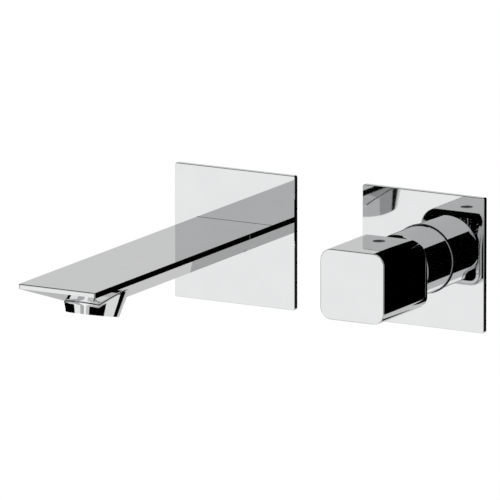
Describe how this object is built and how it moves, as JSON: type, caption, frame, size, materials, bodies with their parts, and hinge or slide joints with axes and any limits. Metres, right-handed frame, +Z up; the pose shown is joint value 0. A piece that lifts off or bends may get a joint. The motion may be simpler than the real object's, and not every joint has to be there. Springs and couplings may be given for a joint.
{
  "type": "wall mounted bath faucet",
  "caption": "Wall mounted bath faucet with a flat blade spout, square cover plates and a square joystick knob on a round sleeve, with its concealed valve and bracket.",
  "frame": {"origin": "on the finished wall plane, midway between the two cover plates and at their mid height", "axes": "+X to the right seen from the front, towards the knob; +Y into the wall; +Z up. The spout reaches out along -Y"},
  "size_m": [0.224, 0.272, 0.092],
  "materials": {
    "chrome": "polished chrome plating on brass",
    "brass": "cast and turned, unplated",
    "copper": "drawn copper pipe, dull",
    "steel": "stainless, fine brushed",
    "housing_plastic": "moulded, off white",
    "moving_plastic": "moulded, grey blue",
    "aerator_plastic": "moulded, pale grey",
    "ceramic": "ground alumina ceramic",
    "rubber": "black rubber",
    "foam": "closed-cell foam",
    "cap_plastic": "dark grey push-in cap"
  },
  "bodies": {
    "wall_set": {"spout_plate": "chrome", "handle_plate": "chrome", "spout_body": "chrome", "outlet_collar": "chrome", "sleeve": "chrome", "valve_body": "brass", "valve_barrel": "brass", "inlet_unions": "brass", "outlet_arm": "brass", "spout_elbow": "brass", "pipe_nuts": "brass", "pipe_olives": "brass", "spout_socket": "brass", "retaining_nut": "brass", "cross_bore_plugs": "brass", "outlet_pipe": "copper", "mounting_bracket": "steel", "valve_strap": "steel", "elbow_strap": "steel", "bracket_screws": "steel", "spout_set_screws": "steel", "aerator_screen": "steel", "cartridge_housing": "housing_plastic", "cartridge_base": "housing_plastic", "aerator_cage": "aerator_plastic", "fixed_disc": "ceramic", "sleeve_o_rings": "rubber", "plate_o_ring": "rubber", "nipple_o_rings": "rubber", "port_seals": "rubber", "disc_seals": "rubber", "aerator_seal": "rubber", "spout_plate_gasket": "foam", "handle_plate_gasket": "foam"},
    "swivel": {"swivel_carrier": "moving_plastic", "carrier_o_ring": "rubber", "pivot_pin": "steel"},
    "disc": {"disc_carrier": "moving_plastic", "moving_disc": "ceramic"},
    "handle": {"lever_stem": "steel", "stem_adaptor": "brass", "knob": "chrome", "knob_set_screw": "steel", "knob_screw_cap": "cap_plastic"}
  },
  "joints": [
    {"name": "handle_swivel", "type": "hinge", "parent": "wall_set", "child": "swivel", "pos_m": [0.0625, 0, 0], "axis": [0, -1, 0], "range_deg": [-45, 45]},
    {"name": "handle_lift", "type": "hinge", "parent": "swivel", "child": "handle", "pos_m": [0.0625, -0.0273, 0], "axis": [-1, 0, 0], "range_deg": [0, 12]},
    {"name": "disc_slide", "type": "slide", "parent": "swivel", "child": "disc", "axis": [0, 0, -1], "range_m": [0, 0.00366]}
  ],
  "couplings": [
    {"joint": "disc_slide", "follows": "handle_lift", "m_per_rad": 0.01737}
  ]
}
